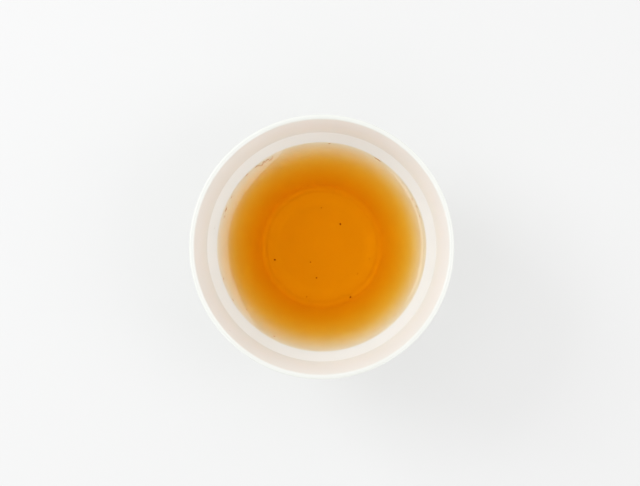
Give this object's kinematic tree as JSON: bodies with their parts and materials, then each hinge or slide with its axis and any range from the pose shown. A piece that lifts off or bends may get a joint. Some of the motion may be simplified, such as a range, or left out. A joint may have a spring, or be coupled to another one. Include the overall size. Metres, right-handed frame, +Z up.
{
  "type": "cup of tea",
  "caption": "Handle-less white porcelain cup with an upright collar, a crease, a tapering belly and a foot ring, part filled with clear amber tea.",
  "frame": {"origin": "middle of the foot ring, on the surface that the cup stands on", "axes": "+Z up along the axis that the cup is turned about; the cup is round, so +X and +Y have no front"},
  "size_m": [0.084, 0.084, 0.04],
  "materials": {
    "porcelain": "gloss",
    "tea": "gloss",
    "leaf_dust": "matte",
    "tea_film": "satin"
  },
  "bodies": {
    "root": {"cup": "porcelain", "tea": "tea"}
  },
  "joints": []
}
